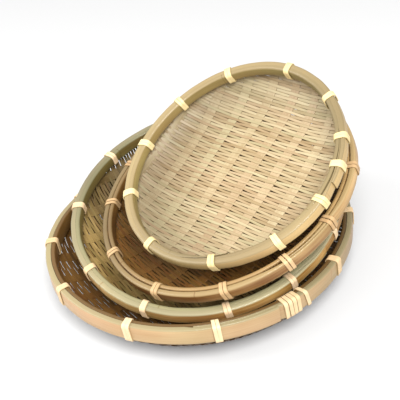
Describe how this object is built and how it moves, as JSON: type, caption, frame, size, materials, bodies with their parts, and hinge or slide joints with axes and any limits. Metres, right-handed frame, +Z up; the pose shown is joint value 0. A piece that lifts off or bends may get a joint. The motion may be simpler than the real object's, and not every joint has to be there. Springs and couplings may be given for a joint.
{
  "type": "nest of round bamboo trays",
  "caption": "Nest of round shallow woven bamboo trays (zaru) of graded sizes, each leaning in the next and lifting out, with split-bamboo hoops round the rims held by cane ties.",
  "frame": {"origin": "middle of the underside of the largest tray's flat base", "axes": "+Z up, square to the largest tray's base; -Y towards the front, where the upper trays' rims lie lowest; +X towards their high side"},
  "size_m": [0.248, 0.2404, 0.137],
  "materials": {
    "woven_bamboo": "split bamboo strips, close weave, dull",
    "outer_hoop": "split bamboo with its skin, low sheen",
    "inner_hoop": "split bamboo with its skin, low sheen",
    "cane_tie": "peeled cane, pale, dull"
  },
  "bodies": {
    "largest": {"largest_woven_bowl": "woven_bamboo", "largest_outer_hoop": "outer_hoop", "largest_inner_hoop": "inner_hoop", "largest_tie_01": "cane_tie", "largest_tie_02": "cane_tie", "largest_tie_03": "cane_tie", "largest_tie_04": "cane_tie", "largest_tie_05": "cane_tie", "largest_tie_06": "cane_tie", "largest_tie_07": "cane_tie", "largest_tie_08": "cane_tie", "largest_tie_09": "cane_tie", "largest_tie_10": "cane_tie", "largest_tie_11": "cane_tie", "largest_lap_winding": "cane_tie"},
    "large": {"large_woven_bowl": "woven_bamboo", "large_outer_hoop": "outer_hoop", "large_inner_hoop": "inner_hoop", "large_tie_01": "cane_tie", "large_tie_02": "cane_tie", "large_tie_03": "cane_tie", "large_tie_04": "cane_tie", "large_tie_05": "cane_tie", "large_tie_06": "cane_tie", "large_tie_07": "cane_tie", "large_tie_08": "cane_tie", "large_tie_09": "cane_tie", "large_tie_10": "cane_tie", "large_tie_11": "cane_tie", "large_tie_12": "cane_tie"},
    "small": {"small_woven_bowl": "woven_bamboo", "small_outer_hoop": "outer_hoop", "small_inner_hoop": "inner_hoop", "small_tie_01": "cane_tie", "small_tie_02": "cane_tie", "small_tie_03": "cane_tie", "small_tie_04": "cane_tie", "small_tie_05": "cane_tie", "small_tie_06": "cane_tie", "small_tie_07": "cane_tie", "small_tie_08": "cane_tie", "small_tie_09": "cane_tie", "small_tie_10": "cane_tie", "small_tie_11": "cane_tie", "small_tie_12": "cane_tie"},
    "smallest": {"smallest_woven_bowl": "woven_bamboo", "smallest_outer_hoop": "outer_hoop", "smallest_inner_hoop": "inner_hoop", "smallest_tie_01": "cane_tie", "smallest_tie_02": "cane_tie", "smallest_tie_03": "cane_tie", "smallest_tie_04": "cane_tie", "smallest_tie_05": "cane_tie", "smallest_tie_06": "cane_tie", "smallest_tie_07": "cane_tie", "smallest_tie_08": "cane_tie", "smallest_tie_09": "cane_tie", "smallest_tie_10": "cane_tie", "smallest_tie_11": "cane_tie", "smallest_tie_12": "cane_tie"}
  },
  "joints": [
    {"name": "large_lift", "type": "slide", "parent": "largest", "child": "large", "axis": [0, 0, 1], "range_m": [0, 0.1]},
    {"name": "small_lift", "type": "slide", "parent": "large", "child": "small", "axis": [0, 0, 1], "range_m": [0, 0.1]},
    {"name": "smallest_lift", "type": "slide", "parent": "small", "child": "smallest", "axis": [0, 0, 1], "range_m": [0, 0.1]}
  ]
}
